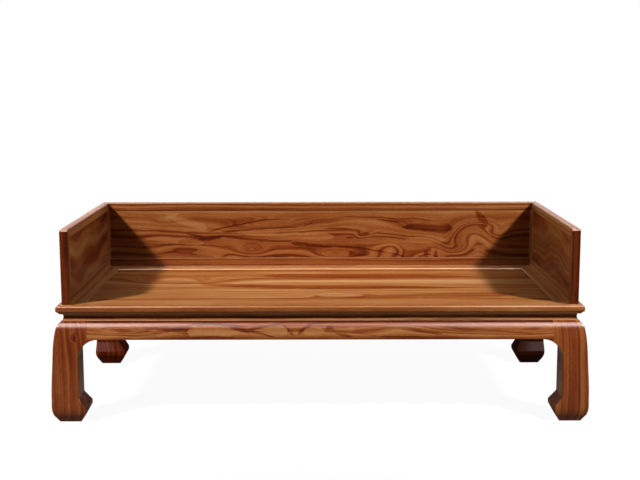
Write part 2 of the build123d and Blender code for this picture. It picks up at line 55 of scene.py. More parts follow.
def linear(red: int, green: int, blue: int) -> Colour:
    """Turn a colour written in screen levels of 0 to 255 into linear light.

    Args:
        red: red level.
        green: green level.
        blue: blue level.

    Returns:
        The three channels in linear light, from 0 to 1.
    """

    def channel(level: int) -> float:
        """Return one channel in linear light."""
        share = level / 255
        return share / 12.92 if share <= 0.04045 else ((share + 0.055) / 1.055) ** 2.4

    return channel(red), channel(green), channel(blue)


class Run(Enum):
    """The way a piece's grain runs, as the order of the frame's axes along, across and through it."""

    LENGTH = ("X", "Z", "Y")
    LENGTH_FLAT = ("X", "Y", "Z")
    DEPTH = ("Y", "Z", "X")
    DEPTH_FLAT = ("Y", "X", "Z")
    HEIGHT = ("Z", "X", "Y")
    HEIGHT_SIDE = ("Z", "Y", "X")


class Humps(Enum):
    """What a noise runs over: its dimensions and the input for the place."""

    SPACE = ("3D", "Vector")
    LINE = ("1D", "W")


@dataclass(frozen=True)
class Wire:
    """An output socket of a shader node that takes part in sums."""

    bench: "Bench"
    socket: bpy.types.NodeSocket

    def _sum(self, operation: str, *values: "Wire | float") -> "Wire":
        """Return the result of one Math node."""
        return self.bench.sum(operation, *values)

    def __add__(self, other: "Wire | float") -> "Wire":
        """Return self + other."""
        return self._sum("ADD", self, other)

    def __radd__(self, other: float) -> "Wire":
        """Return other + self."""
        return self._sum("ADD", other, self)

    def __sub__(self, other: "Wire | float") -> "Wire":
        """Return self - other."""
        return self._sum("SUBTRACT", self, other)

    def __rsub__(self, other: float) -> "Wire":
        """Return other - self."""
        return self._sum("SUBTRACT", other, self)

    def __mul__(self, other: "Wire | float") -> "Wire":
        """Return self * other."""
        return self._sum("MULTIPLY", self, other)

    def __rmul__(self, other: float) -> "Wire":
        """Return other * self."""
        return self._sum("MULTIPLY", other, self)

    def __truediv__(self, other: "Wire | float") -> "Wire":
        """Return self / other."""
        return self._sum("DIVIDE", self, other)

    def __rtruediv__(self, other: float) -> "Wire":
        """Return other / self."""
        return self._sum("DIVIDE", other, self)

    def __pow__(self, other: float) -> "Wire":
        """Return self to the power other."""
        return self._sum("POWER", self, other)

    def __neg__(self) -> "Wire":
        """Return 0 - self."""
        return self._sum("SUBTRACT", 0.0, self)


Value = Wire | float


@dataclass
class Bench:
    """The node tree of one material or world, on which shaders are put together."""

    tree: bpy.types.NodeTree

    def node(
        self,
        kind: str,
        settings: dict[str, object] | None = None,
        inputs: dict[str | int, object] | None = None,
    ) -> bpy.types.Node:
        """Add a node, set it up and feed it.

        Args:
            kind: the node's type name.
            settings: the node's own properties, or a ramp's stops, set before its inputs.
            inputs: a value, a colour, a wire or a socket for each input, by name or place.

        Returns:
            The new node.
        """
        made = self.tree.nodes.new(kind)
        for name, value in (settings or {}).items():
            if name == "stops":
                self.place_stops(made.color_ramp.elements, value)
            else:
                setattr(made, name, value)
        for name, value in (inputs or {}).items():
            target = made.inputs[name]
            if isinstance(value, Wire):
                self.tree.links.new(value.socket, target)
            elif isinstance(value, bpy.types.NodeSocket):
                self.tree.links.new(value, target)
            elif target.type == "RGBA":
                target.default_value = (*value, 1.0)
            else:
                target.default_value = value
        return made

    def place_stops(self, row: bpy.types.ColorRampElements, stops: tuple[Stop, ...]) -> None:
        """Give a ramp its stops.

        Args:
            row: the ramp's own stops.
            stops: the place and colour of each.
        """
        while len(row) < len(stops):
            row.new(1.0)
        for element, (place, colour) in zip(row, stops):
            element.position = place
            element.color = (*colour, 1.0)

    def wire(self, node: bpy.types.Node, output: str | int = 0) -> Wire:
        """Return one output of a node as a wire."""
        return Wire(self, node.outputs[output])

    def sum(self, operation: str, *values: Value) -> Wire:
        """Return one Math node's result on one to three values."""
        inputs = dict(enumerate(values))
        return self.wire(self.node("ShaderNodeMath", {"operation": operation}, inputs))

    def vector(self, x: Value, y: Value, z: Value) -> Wire:
        """Return a vector of three values."""
        return self.wire(self.node("ShaderNodeCombineXYZ", inputs={0: x, 1: y, 2: z}))

    def noise(
        self,
        at: Wire,
        detail: float = 2.0,
        rough: float = 0.5,
        scale: float = 1.0,
        over: Humps = Humps.SPACE,
    ) -> Wire:
        """Return a noise of mean 0 that stays mostly between -1 and 1.

        Args:
            at: the place, as a vector, or as a value for a noise over a line.
            detail: how many finer layers are laid on.
            rough: the share of each finer layer.
            scale: how many humps there are to a unit of the place.
            over: what the noise runs over.

        Returns:
            The noise as a value.
        """
        dimensions, place = over.value
        made = self.node(
            "ShaderNodeTexNoise",
            {"noise_dimensions": dimensions},
            {place: at, "Scale": scale, "Detail": detail, "Roughness": rough},
        )
        middle, spread = 0.5, 2.6
        return (self.wire(made, "Fac") - middle) * spread

    def smooth(self, value: Value, low: float, high: float) -> Wire:
        """Rise smoothly from 0 to 1 between two numbers, or fall if the first is the higher.

        Args:
            value: a number.
            low: where the rise starts.
            high: where it ends.

        Returns:
            A value from 0 to 1.
        """
        settings = {"interpolation_type": "SMOOTHSTEP", "clamp": True}
        inputs = {"Value": value, "From Min": low, "From Max": high}
        return self.wire(self.node("ShaderNodeMapRange", settings, inputs), "Result")

    def stretch(self, value: Value, old: Range, new: Range) -> Wire:
        """Turn one span of numbers evenly into another, and hold the ends.

        Args:
            value: a number.
            old: the span that it lies in.
            new: the span that it's turned into.

        Returns:
            The number in the new span.
        """
        settings = {"interpolation_type": "LINEAR", "clamp": True}
        inputs = {"Value": value, "From Min": old[0], "From Max": old[1], "To Min": new[0], "To Max": new[1]}
        return self.wire(self.node("ShaderNodeMapRange", settings, inputs), "Result")

    def tint(self, share: Value, first: Wire | Colour, second: Wire | Colour) -> Wire:
        """Return a colour between two colours.

        Args:
            share: 0 for the first colour, 1 for the second.
            first: the colour at 0.
            second: the colour at 1.

        Returns:
            The mixed colour.
        """
        settings = {"data_type": "RGBA", "blend_type": "MIX", "clamp_factor": True}
        # A Mix node keeps its colours in inputs 6 and 7 and gives their mixture from output 2.
        return self.wire(self.node("ShaderNodeMix", settings, {0: share, 6: first, 7: second}), 2)

    def ramp(self, value: Value, stops: tuple[Stop, ...]) -> Wire:
        """Return the colour at a place in a row of colours."""
        return self.wire(self.node("ShaderNodeValToRGB", {"stops": stops}, {0: value}))

    def chance(self, at: Wire) -> Wire:
        """Return a number from 0 to 1 that jumps with each new value of at."""
        settings = {"noise_dimensions": "1D"}
        return self.wire(self.node("ShaderNodeTexWhiteNoise", settings, {"W": at}), "Value")

    def swirled(self, along: Wire, across: Wire, swirl: "Swirl") -> tuple[Wire, Wire]:
        """Turn the figure round a point, most at the point and less away from it.

        Args:
            along: the place along the grain, in metres.
            across: the place across the grain, in metres.
            swirl: where the turn is, how large and how far.

        Returns:
            The turned place along and across the grain.
        """
        step = (along - swirl.along) / swirl.stretch
        rise = across - swirl.across
        reach = (step * step + rise * rise) / swirl.radius**2
        turn = self.sum("EXPONENT", -reach) * math.radians(swirl.turn)
        cosine = self.sum("COSINE", turn)
        sine = self.sum("SINE", turn)
        turned_step = step * cosine - rise * sine
        turned_rise = step * sine + rise * cosine
        return turned_step * swirl.stretch + swirl.along, turned_rise + swirl.across

    def ringed(self, along: Wire, across: Wire, eye: "Eye") -> Wire:
        """Return the growth rings that an eye adds.

        Args:
            along: the place along the grain, in metres.
            across: the place across the grain, in metres.
            eye: where the eye lies and how large it is.

        Returns:
            The added ring count.
        """
        turn = math.radians(eye.slant)
        step = along - eye.along
        rise = across - eye.across
        run = (step * math.cos(turn) + rise * math.sin(turn)) / eye.length
        width = (rise * math.cos(turn) - step * math.sin(turn)) / eye.width
        return self.sum("EXPONENT", -(run * run + width * width)) * eye.rings

    def streaked(self, along: Wire, across: Wire, ragged: Wire, streak: "Streak") -> Wire:
        """Return how strongly a streak or patch shows.

        Args:
            along: the place along the grain, in metres.
            across: the place across the grain, in metres.
            ragged: a noise that frays the streak's edges.
            streak: the line and breadth of the streak.

        Returns:
            A value from 0 to the streak's depth.
        """
        span = (streak.start, streak.end)
        way = self.stretch(along, span, (0.0, 1.0))
        middle = self.stretch(along, span, (streak.start_across, streak.end_across))
        if streak.bow:
            middle = middle + way * (1.0 - way) * (4.0 * streak.bow)
        half = self.stretch(along, span, (streak.start_half, streak.end_half))
        taper = self.smooth(way, 0.0, streak.start_taper) * self.smooth(way, 1.0, 1.0 - streak.end_taper)
        reach = half * taper**streak.point + streak.hair
        off = self.sum("ABSOLUTE", across - middle) / reach + ragged
        return self.smooth(off, *streak.edge) * streak.depth


@dataclass(frozen=True)
class Swirl:
    """A place where the grain turns on itself. Lengths are metres, the turn is degrees."""

    along: float
    across: float
    radius: float
    turn: float
    stretch: float = 1.0


@dataclass(frozen=True)
class Eye:
    """A place that the growth rings flow round. Lengths are metres, the slant is degrees."""

    along: float
    across: float
    length: float
    width: float
    rings: float
    slant: float = 0.0


@dataclass(frozen=True)
class Streak:
    """A dark streak or pale patch from one place along the grain to another. Lengths are metres.

    point sets how bluntly its ends taper, hair is the least half breadth, and edge is where it fades
    out and where it's whole, in half breadths off its middle line.
    """

    start: float
    start_across: float
    end: float
    end_across: float
    start_half: float
    end_half: float
    bow: float = 0.0
    depth: float = 0.8
    start_taper: float = 0.3
    end_taper: float = 0.3
    point: float = 0.4
    hair: float = 0.0002
    edge: Range = (1.25, 0.50)


@dataclass(frozen=True)
class Tracing:
    """Grain marks placed in the camera's view of one face of the bed.

    Places and breadths are pixels, counted from the view's top left corner, and become metres to the
    nearest millimetre, or a tenth of one for breadths. unit is what an eye's length and width are
    counted in, in metres, and kept is the share of its depth that a streak keeps.
    """

    unit: Range = (1.0, 1.0)
    kept: float = 1.0

    def spot(self, x: float, y: float) -> Range:
        """Return the place along and across the grain behind a pixel, in metres."""
        raise NotImplementedError

    def reach(self, x: float, y: float, pixels: float) -> float:
        """Return how far some pixels reach across the grain at a place, in metres."""
        return (self.spot(x, y - pixels)[1] - self.spot(x, y + pixels)[1]) / 2

    def swirl(self, x: float, y: float, radius: float, turn: float, stretch: float) -> Swirl:
        """Place a swirl.

        Args:
            x: its middle, from the left.
            y: its middle, from the top.
            radius: its size in metres.
            turn: how far the grain turns, in degrees.
            stretch: how much longer than broad it is.

        Returns:
            The swirl.
        """
        along, across = self.spot(x, y)
        return Swirl(round(along, 3), round(across, 3), radius, turn, stretch)

    def eye(
        self, x: float, y: float, length: float, width: float, rings: float, slant: float = 0.0
    ) -> Eye:
        """Place an eye.

        Args:
            x: its middle, from the left.
            y: its middle, from the top.
            length: its length in units.
            width: its width in units.
            rings: how many rings it adds.
            slant: how far it leans from the grain, in degrees.

        Returns:
            The eye.
        """
        along, across = self.spot(x, y)
        length = round(length * self.unit[0], 3)
        width = round(width * self.unit[1], 3)
        return Eye(round(along, 3), round(across, 3), length, width, rings, slant)

    def streak(
        self,
        x: float,
        y: float,
        end_x: float,
        end_y: float,
        half: float,
        end_half: float,
        bow: float,
        depth: float,
        start_taper: float,
        end_taper: float,
    ) -> Streak:
        """Place a streak or patch.

        Args:
            x: its left end, from the left.
            y: its left end, from the top.
            end_x: its right end, from the left.
            end_y: its right end, from the top.
            half: half its breadth at the left end.
            end_half: the same at the right end.
            bow: how far its middle bows up.
            depth: how strongly it shows.
            start_taper: the share of it that tapers at the left end.
            end_taper: the same at the right end.

        Returns:
            The streak.
        """
        start, start_across = self.spot(x, y)
        end, end_across = self.spot(end_x, end_y)
        return Streak(
            start=round(start, 3),
            start_across=round(start_across, 3),
            end=round(end, 3),
            end_across=round(end_across, 3),
            start_half=round(self.reach(x, y, half), 4),
            end_half=round(self.reach(end_x, end_y, end_half), 4),
            bow=round(self.reach((x + end_x) / 2, (y + end_y) / 2, bow), 3),
            depth=round(depth * self.kept, 2),
            start_taper=start_taper,
            end_taper=end_taper,
        )


@dataclass(frozen=True)
class SquareTracing(Tracing):
    """Marks on an upright face at one scale, which is its unit.

    middle and foot are where the face's middle and foot are seen, and height is its foot's height.
    """

    middle: float = 320.0
    foot: float = 240.0
    height: float = 0.0

    def spot(self, x: float, y: float) -> Range:
        """Return the place along and across the grain behind a pixel, in metres."""
        return (x - self.middle) * self.unit[0], self.height + (self.foot - y) * self.unit[1]


class Lie(Enum):
    """How a face lies: level, or upright across the camera's view."""

    LEVEL = "level"
    UPRIGHT = "upright"


@dataclass(frozen=True)
class SlantTracing(Tracing):
    """Marks on a face that each line of sight meets in its own place.

    at is a level face's height, or how far back an upright one stands. The marks lie aside metres to
    the right of where the camera sees them.
    """

    lie: Lie = Lie.LEVEL
    at: float = 0.0
    aside: float = 0.0023

    def spot(self, x: float, y: float) -> Range:
        """Follow the line of sight through a pixel to the face.

        Args:
            x: pixels from the left.
            y: pixels from the top.

        Returns:
            The place along and across the grain, in metres.
        """
        pitch = math.radians(PITCH)
        down = (y - VIEW_HEIGHT / 2) / FOCAL
        rearward = math.cos(pitch) - down * math.sin(pitch)
        drop = math.sin(pitch) + down * math.cos(pitch)
        if self.lie is Lie.LEVEL:
            distance = (CAMERA[2] - self.at) / drop
            across = CAMERA[1] + distance * rearward
        else:
            distance = (self.at - CAMERA[1]) / rearward
            across = CAMERA[2] - distance * drop
        return CAMERA[0] + self.aside + (x - VIEW_WIDTH / 2) / FOCAL * distance, across


@dataclass(frozen=True)
class Palette:
    """The colours of one wood, from its palest to its darkest."""

    cream: Colour = linear(208, 162, 112)
    pale: Colour = linear(177, 125, 75)
    warm: Colour = linear(147, 85, 40)
    ruddy: Colour = linear(112, 46, 13)
    dark: Colour = linear(66, 20, 4)
    # The pale colour of worn arrises, also painting their highlight, and of the highlights painted along the
    # seat's joints.
    worn: Colour = linear(216, 172, 128)

    def stops(self) -> tuple[Stop, ...]:
        """Return the tone of each colour, from the darkest to the palest."""
        return (
            (0.02, self.dark),
            (0.27, self.ruddy),
            (0.52, self.warm),
            (0.76, self.pale),
            (0.98, self.cream),
        )


@dataclass(frozen=True)
class ShadeAndTone:
    """A band painted darker from nothing at start to depth at end, mostly painted shade; a negative depth
    paints light.
    """

    axis: str
    start: float
    end: float
    depth: float


@dataclass(frozen=True)
class Marks:
    """Where a piece's arrises are worn pale, where its joints show dark, and where shade and light are
    painted on it. Lengths are metres.

    low and high are the piece's corners. A line is an axis, a place on it and a half breadth: seams
    are dark lines at joints, the one under the back screen's top rail a painted shadow, and bright are
    pale lines painted as highlights along the seat rails' inner arrises. The worn arrises are also a
    painted highlight. The last two fields say how strongly seams and bright lines show.
    """

    low: Point
    high: Point
    wear: float = 0.0018
    worn: float = 0.55
    seams: tuple[Line, ...] = ()
    bright: tuple[Line, ...] = ()
    shade_and_tone: tuple[ShadeAndTone, ...] = ()
    seam_darkness: float = 0.75
    rubbed: float = 0.9


@dataclass(frozen=True)
class Figure:
    """How the growth rings lie in a piece. Lengths are metres, and scales are humps to a metre.

    tone runs from 0, darkest, to 1, palest. bands, clouds, lines, fine_lines, fibre, speckle and pores
    say how strongly each of them shows, and heart how strongly late wood and dark streaks do.
    """

    ring_gap: float = 0.016
    sway: float = 0.020
    sway_along: float = 1.6
    sway_across: float = 6.0
    ripple: float = 0.0035
    ripple_along: float = 9.0
    ripple_across: float = 30.0
    tilt: float = 0.35
    tone: float = 0.66
    bands: float = 0.40
    band_rings: float = 1.5
    clouds: float = 0.14
    lines: float = 0.85
    fine_lines: float = 0.22
    fibre: float = 0.10
    speckle: float = 0.10
    pores: float = 0.10
    heart: float = 0.62
    swirls: tuple[Swirl, ...] = ()
    eyes: tuple[Eye, ...] = ()
    streaks: tuple[Streak, ...] = ()
    clears: tuple[Streak, ...] = ()
    clear_tone: float = 0.80


@dataclass(frozen=True)
class Polish:
    """The oil and wax on a piece. Lengths are metres.

    fibre, pore and rub say how far fibres, pores and worn arrises roughen it, and fibre_rise and
    pore_fall how far fibres stand up and pores sink, as shares of the relief.
    """

    roughness: float = 0.45
    specular: float = 0.05
    coat: float = 0.60
    coat_roughness: float = 0.22
    relief: float = 0.00012
    fibre: float = 0.03
    pore: float = 0.15
    rub: float = 0.06
    fibre_rise: float = 0.3
    pore_fall: float = 0.9


@dataclass(frozen=True)
class Spot:
    """A place in a piece by its grain, in metres, and the seed that moves its pattern."""

    bench: Bench
    along: Wire
    across: Wire
    through: Wire
    seed: float

    def noise(self, along: float, across: float, through: float, detail: float, rough: float) -> Wire:
        """Return a noise over the place.

        Args:
            along: humps to a metre along the grain.
            across: the same across the grain.
            through: the same through the piece.
            detail: how many finer layers are laid on.
            rough: the share of each finer layer.

        Returns:
            The noise as a value.
        """
        place = self.bench.vector(
            self.along * along + self.seed, self.across * across, self.through * through
        )
        return self.bench.noise(place, detail, rough)


@dataclass(frozen=True)
class Rings:
    """The growth rings at a spot: their count, and the places that they leave it drawn to."""

    count: Wire
    moved: Wire
    drawn: Wire


@dataclass(frozen=True)
class Wood:
    """A finish: colours, figure and polish."""

    slot: str
    palette: Palette = Palette()
    figure: Figure = Figure()
    polish: Polish = Polish()

    def rings(self, spot: Spot) -> Rings:
        """Lay the growth rings through the piece.

        Args:
            spot: the place in the piece.

        Returns:
            The rings at that place.
        """
        figure = self.figure
        bench = spot.bench
        ripple_place = bench.vector(
            spot.along * figure.ripple_along,
            spot.across * figure.ripple_across + spot.seed,
            spot.through * figure.ripple_across,
        )
        ripple = bench.noise(ripple_place) * figure.ripple
        drawn = spot.across + ripple
        moved = spot.along + ripple
        swayed = drawn + spot.through * figure.tilt
        for swirl in figure.swirls:
            moved, swayed = bench.swirled(moved, swayed, swirl)
        sway_place = bench.vector(
            moved * figure.sway_along + spot.seed,
            swayed * figure.sway_across,
            spot.through * figure.sway_across + spot.seed,
        )
        swayed = swayed + bench.noise(sway_place, 1.0, 0.4) * figure.sway
        count = swayed / figure.ring_gap + spot.seed * 5.0
        for eye in figure.eyes:
            count = count + bench.ringed(spot.along, drawn, eye)
        return Rings(count, moved, drawn)

    def latewood(self, spot: Spot, rings: Rings) -> tuple[Wire, Wire, Wire]:
        """Draw the dark late wood at the end of each ring, more in some rings than in others.

        Args:
            spot: the place in the piece.
            rings: its growth rings.

        Returns:
            How dark the late wood is, its crisp edge, and a finer set of lines between the rings.
        """
        bench = spot.bench
        whole = bench.sum("FLOOR", rings.count)
        part = rings.count - whole
        weight = bench.chance(whole) ** 2.0
        late = (part**2.0) * bench.smooth(part, 1.0, 0.95) * (weight * 0.95 + 0.05)
        patch_place = bench.vector(spot.along * 4.0, spot.across * 16.0 + spot.seed, spot.through * 16.0)
        patch = bench.smooth(bench.noise(patch_place, 1.0), -0.6, 0.6)
        edge = bench.smooth(part, 0.84, 0.95) * bench.smooth(part, 1.0, 0.97) * weight * patch
        thin = rings.count * 3.7 + 0.3
        whole = bench.sum("FLOOR", thin)
        part = thin - whole
        fine = (part**3.0) * bench.smooth(part, 1.0, 0.93) * bench.chance(whole) * patch
        return late, edge, fine

    def colouring(self, spot: Spot, shade: Value) -> tuple[Wire, Wire, Wire]:
        """Colour the wood.

        Args:
            spot: the place in the piece.
            shade: how much darker the painted shade makes it; where negative it paints light.

        Returns:
            The colour, the fibres and the pores.
        """
        figure = self.figure
        palette = self.palette
        bench = spot.bench
        rings = self.rings(spot)
        broad = bench.noise(rings.count, 2.0, 0.45, 1.0 / figure.band_rings, Humps.LINE)
        clouds = spot.noise(3.0, 14.0, 14.0, 2.0, 0.5)
        fibre = replace(spot, along=rings.moved, across=rings.count).noise(6.0, 7.0, 90.0, 3.0, 0.6)
        late, edge, fine = self.latewood(spot, rings)

        dark = late * figure.lines
        ragged = 0.0
        if figure.streaks or figure.clears:
            ragged = spot.noise(18.0, 80.0, 30.0, 2.0, 0.6) * 0.32 + fibre * 0.15
        for streak in figure.streaks:
            dark = bench.sum("MAXIMUM", dark, bench.streaked(spot.along, rings.drawn, ragged, streak))
        tone = figure.tone - broad * figure.bands * (1.0 + clouds * 0.5)
        tone = tone - clouds * figure.clouds + fibre * figure.fibre
        tone = tone - dark * figure.heart - fine * figure.fine_lines
        for clear in figure.clears:
            pale = bench.streaked(spot.along, rings.drawn, ragged, clear)
            tone = tone + pale * (figure.clear_tone - tone)

        speck = spot.noise(60.0, 420.0, 420.0, 2.0, 0.6)
        pore = bench.smooth(spot.noise(110.0, 1500.0, 1500.0, 1.0, 0.5), 0.50, 0.95)
        tone = tone + speck * figure.speckle - pore * figure.pores - shade
        colour = bench.ramp(tone, palette.stops())
        colour = bench.tint(edge * figure.lines, colour, palette.dark)
        return colour, fibre, pore

    def worn_highlit_arrises(self, bench: Bench, axes: dict[str, Wire], marks: Marks, ragged: Wire) -> Wire:
        """Find the piece's long arrises, where the polish is worn, and which also get a painted highlight.

        Args:
            bench: the tree being built.
            axes: the place on each axis, in metres.
            marks: the piece's corners and how far the wear reaches.
            ragged: a noise that frets the worn strip.

        Returns:
            A value from 0 to 1 at a worn arris, which also serves as its painted highlight.
        """
        gaps = []
        for axis, low, high in zip("XYZ", marks.low, marks.high):
            middle = (low + high) / 2
            half = (high - low) / 2
            gaps.append(half - bench.sum("ABSOLUTE", axes[axis] - middle))
        least = bench.sum("MINIMUM", gaps[0], gaps[1])
        most = bench.sum("MAXIMUM", gaps[0], gaps[1])
        second = bench.sum("MAXIMUM", least, bench.sum("MINIMUM", most, gaps[2]))
        reach = second / marks.wear + ragged * 0.45
        return bench.smooth(reach, 1.3, 0.3)

    def ruled(
        self,
        bench: Bench,
        axes: dict[str, Wire],
        lines: tuple[Line, ...],
        over: Wire,
        ink: Colour,
        strength: float,
    ) -> Wire:
        """Draw thin straight lines across an axis over a colour.

        Args:
            bench: the tree being built.
            axes: the place on each axis, in metres.
            lines: the axis, place and half breadth of each line.
            over: the colour that they're drawn on.
            ink: their own colour.
            strength: how strongly they cover it, from 0 to 1.

        Returns:
            The colour with the lines on it.
        """
        mask = None
        for axis, place, half in lines:
            line = bench.smooth(bench.sum("ABSOLUTE", axes[axis] - place), half, half * 0.35)
            mask = line if mask is None else bench.sum("MAXIMUM", mask, line)
        return over if mask is None else bench.tint(mask * strength, over, ink)

    def material(self, name: str, run: Run, seed: float, marks: Marks) -> bpy.types.Material:
        """Make this wood for one piece.

        Args:
            name: the piece's name.
            run: the way its grain runs.
            seed: moves the pattern, so that no two pieces are cut from one spot.
            marks: where the piece is worn and jointed, and where shade and highlights are painted on it.

        Returns:
            The new material.
        """
        made = bpy.data.materials.new(f"{self.slot}_{name}")
        made.use_nodes = True
        made.node_tree.nodes.clear()
        bench = Bench(made.node_tree)
        place = bench.wire(bench.node("ShaderNodeTexCoord"), "Object")
        split = bench.node("ShaderNodeSeparateXYZ", inputs={0: place})
        axes = {axis: bench.wire(split, axis) for axis in "XYZ"}
        spot = Spot(bench, *(axes[axis] for axis in run.value), seed)
        # Painted shade: each band darkens the colour by its depth, and a negative depth paints light.
        shade = 0.0
        for shade_and_tone in marks.shade_and_tone:
            shade = bench.smooth(axes[shade_and_tone.axis], shade_and_tone.start, shade_and_tone.end) * shade_and_tone.depth + shade
        colour, fibre, pore = self.colouring(spot, shade)
        edge = 0.0
        # Worn arrises are painted pale, partly as wear and partly as a painted highlight.
        if marks.worn:
            edge = self.worn_highlit_arrises(bench, axes, marks, fibre) * marks.worn
            colour = bench.tint(edge, colour, self.palette.worn)
        # Painted highlights: pale lines along the seat rails' inner arrises.
        colour = self.ruled(bench, axes, marks.bright, colour, self.palette.worn, marks.rubbed)
        # Dark joint lines; the one under the back screen's top rail is a painted shadow.
        colour = self.ruled(bench, axes, marks.seams, colour, self.palette.dark, marks.seam_darkness)

        polish = self.polish
        rough = polish.roughness + fibre * polish.fibre + pore * polish.pore + edge * polish.rub
        height = fibre * polish.fibre_rise - pore * polish.pore_fall
        bump = bench.node(
            "ShaderNodeBump", inputs={"Strength": 1.0, "Distance": polish.relief, "Height": height}
        )
        shader = bench.node(
            "ShaderNodeBsdfPrincipled",
            inputs={
                "Base Color": colour,
                "Roughness": rough,
                "Specular IOR Level": polish.specular,
                "Coat Weight": polish.coat,
                "Coat Roughness": polish.coat_roughness,
                "Normal": bump.outputs["Normal"],
            },
        )
        bench.node("ShaderNodeOutputMaterial", inputs={"Surface": shader.outputs[0]})
        return made


@dataclass
class Joiner:
    """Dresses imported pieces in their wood.

    count is how many it has dressed, which gives a piece its own spot of the tree, and cut keeps each
    material that it has made for pieces that share one.
    """

    nodes: dict[str, bpy.types.Object]
    count: int = 0
    cut: dict[tuple[object, ...], bpy.types.Material] = field(default_factory=dict)

    def dress(
        self,
        name: str,
        wood: Wood,
        run: Run,
        seed: float | None = None,
        seams: tuple[Line, ...] = (),
        bright: tuple[Line, ...] = (),
        shade_and_tone: tuple[ShadeAndTone, ...] = (),
        worn: float = 0.55,
    ) -> None:
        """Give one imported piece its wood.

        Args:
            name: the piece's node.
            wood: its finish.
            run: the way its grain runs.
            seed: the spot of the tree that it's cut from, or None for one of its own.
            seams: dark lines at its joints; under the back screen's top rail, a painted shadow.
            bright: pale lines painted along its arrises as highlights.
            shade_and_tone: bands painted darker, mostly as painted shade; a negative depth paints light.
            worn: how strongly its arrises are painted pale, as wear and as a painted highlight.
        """
        self.count += 1
        piece = self.nodes[name]
        low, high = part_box(name) if worn else ((0.0,) * 3, (0.0,) * 3)
        marks = Marks(tuple(low), tuple(high), worn=worn, seams=seams, bright=bright, shade_and_tone=shade_and_tone)
        spot = self.count * 1.37 if seed is None else seed
        key = (wood, run, spot, marks)
        if key not in self.cut:
            self.cut[key] = wood.material(name, run, spot, marks)
        material = self.cut[key]
        for holder in piece.material_slots:
            holder.material = material
        if not piece.material_slots:
            piece.data.materials.append(material)
        LOG.info("dressed %s in %s", name, wood.slot)


SATIN = Polish(roughness=0.55, specular=0.018, coat=0.30, coat_roughness=0.18)
BURNISHED = Polish(coat=0.9, coat_roughness=0.24)
DRY = Polish(specular=0.0, coat=0.08)
HIDDEN = Wood("inner_wood", figure=Figure(ring_gap=0.010, sway=0.006))


@dataclass
class SeatFrame:
    """The four rails of the seat.

    Lengths are metres. Within roll of a line set_in from its outer face a rail is painted darker by
    depth, a painted shade on its face, and from edge to hollow below its top it is painted lighter, painted
    light in the hollow under its rounded edge. Pale lines painted along the boards are highlights.
    """

    joiner: Joiner
    wood: Wood = Wood("rail_wood", figure=Figure(ring_gap=0.014, sway=0.008, bands=0.26, tone=0.69))
    set_in: float = 0.007
    roll: float = 0.010
    depth: float = 0.10
    edge: float = 0.020
    hollow: float = 0.029
    paler: float = 0.22
    # Half breadths of the pale lines painted as highlights along the boards.
    rubbed_front: float = 0.0022
    rubbed_rear: float = 0.00286
    rubbed_ends: float = 0.00418

    def build(self) -> None:
        """Dress the rails along their lengths."""
        self.dress("front_rail", Run.LENGTH_FLAT, "Y", -1, self.rubbed_front)
        self.dress("rear_rail", Run.LENGTH_FLAT, "Y", 1, self.rubbed_rear)
        self.dress("left_end_rail", Run.DEPTH_FLAT, "X", -1, self.rubbed_ends)
        self.dress("right_end_rail", Run.DEPTH_FLAT, "X", 1, self.rubbed_ends)

    def dress(self, name: str, run: Run, axis: str, outward: int, rubbed: float) -> None:
        """Dress one rail.

        Args:
            name: its node.
            run: the way its grain runs.
            axis: the axis across it.
            outward: 1 if its outer face looks up that axis, -1 if it looks down it.
            rubbed: half the breadth of the pale line painted as a highlight along the boards.
        """
        low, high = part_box(name)
        outer, inner = (high, low) if outward > 0 else (low, high)
        place = "XYZ".index(axis)
        face = outer[place] - outward * self.set_in
        # Painted shade on the rail's outer face.
        side = ShadeAndTone(axis, face - outward * self.roll, face, self.depth)
        # Painted light in the hollow under the rail's rounded edge.
        under = ShadeAndTone("Z", high.z - self.edge, high.z - self.hollow, -self.paler)
        # Painted highlight: a pale line along the rail's inner arris at the boards.
        bright = ((axis, inner[place], rubbed),)
        self.joiner.dress(name, self.wood, run, shade_and_tone=(side, under), bright=bright)


